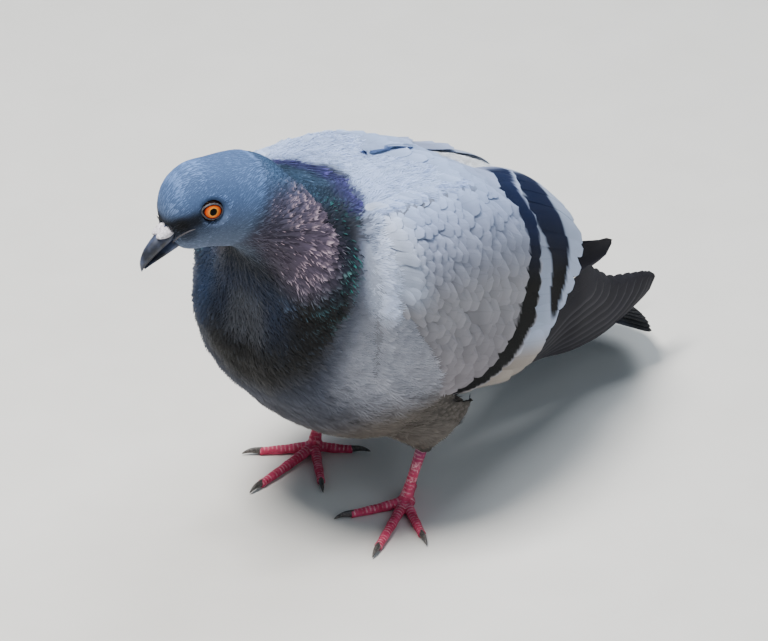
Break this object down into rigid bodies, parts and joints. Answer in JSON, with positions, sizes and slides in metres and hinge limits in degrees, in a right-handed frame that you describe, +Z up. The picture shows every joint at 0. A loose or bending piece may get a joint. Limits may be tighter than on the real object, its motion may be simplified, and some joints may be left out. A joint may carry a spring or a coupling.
{
  "type": "pigeon",
  "caption": "Life-size feral rock dove standing on both feet, wings folded, head turned to its right.",
  "frame": {"origin": "on the floor, under the middle of the whole bird's box", "axes": "+Z up, the bird faces -Y with its tail towards +Y, and its left side is +X"},
  "size_m": [0.1136, 0.2884, 0.1842],
  "materials": {
    "plumage_grey": "matt pale grey feathers",
    "plumage_neck": "dark feathers with a green and purple gloss",
    "plumage_head": "matt slate-blue feathers",
    "plumage_tail": "matt dark grey vanes",
    "bill": "satin dark horn",
    "cere": "chalky white skin",
    "eye": "wet gloss",
    "foot_skin": "scaled pink-red skin",
    "claw": "satin dark horn"
  },
  "bodies": {
    "root": {"torso": "plumage_grey", "neck": "plumage_neck", "head": "plumage_head", "bill_upper": "bill", "bill_lower": "bill", "cere": "cere", "tail": "plumage_tail", "eye_left": "eye", "eye_right": "eye", "wing_left": "plumage_grey", "wing_right": "plumage_grey", "thigh_left": "plumage_grey", "thigh_right": "plumage_grey", "leg_left": "foot_skin", "leg_right": "foot_skin", "claw_left_inner": "claw", "claw_left_middle": "claw", "claw_left_outer": "claw", "claw_left_hind": "claw", "claw_right_inner": "claw", "claw_right_middle": "claw", "claw_right_outer": "claw", "claw_right_hind": "claw"}
  },
  "joints": []
}
